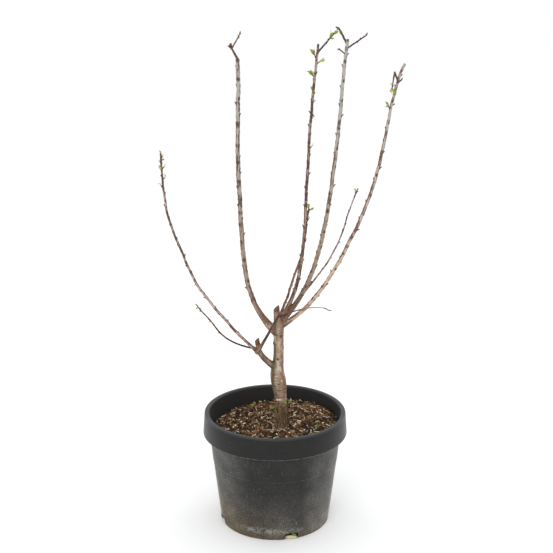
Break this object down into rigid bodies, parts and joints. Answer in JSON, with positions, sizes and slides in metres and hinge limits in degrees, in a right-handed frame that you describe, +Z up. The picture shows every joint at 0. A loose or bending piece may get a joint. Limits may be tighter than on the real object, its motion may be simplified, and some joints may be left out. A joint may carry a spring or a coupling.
{
  "type": "potted dwarf plum",
  "caption": "Young grafted dwarf plum with a short trunk, cut-back upswept whips and opening leaf buds, in a black nursery pot of bark mix.",
  "frame": {"origin": "centre of the pot's flat underside, on the surface that the pot stands on", "axes": "+Z up along the plant's height, the plant's longest extent; -Y towards the side it is seen from, +X to the right of that view"},
  "size_m": [0.4381, 0.2864, 0.9827],
  "materials": {
    "pot": "matt moulded",
    "potting_mix": "rough damp bark",
    "trunk_bark": "satin bark",
    "silver_bark": "satin bark",
    "brown_bark": "satin bark",
    "tan_bark": "satin bark",
    "crown_twigs": "satin bark and young leaf"
  },
  "bodies": {
    "root": {"pot": "pot", "potting_mix": "potting_mix", "trunk": "trunk_bark", "low_bough": "trunk_bark", "left_leader": "silver_bark", "grey_leader": "silver_bark", "brown_leader": "brown_bark", "right_leader": "tan_bark", "thin_shoot": "brown_bark", "weak_twig": "brown_bark", "low_whip": "brown_bark", "low_twig": "brown_bark", "crossing_twig": "brown_bark", "left_crown_twigs": "crown_twigs", "brown_crown_twigs": "crown_twigs", "grey_crown_twigs": "crown_twigs", "right_crown_twigs": "crown_twigs", "low_crown_twigs": "crown_twigs", "thin_crown_twigs": "crown_twigs", "crossing_crown_twigs": "crown_twigs"}
  },
  "joints": []
}
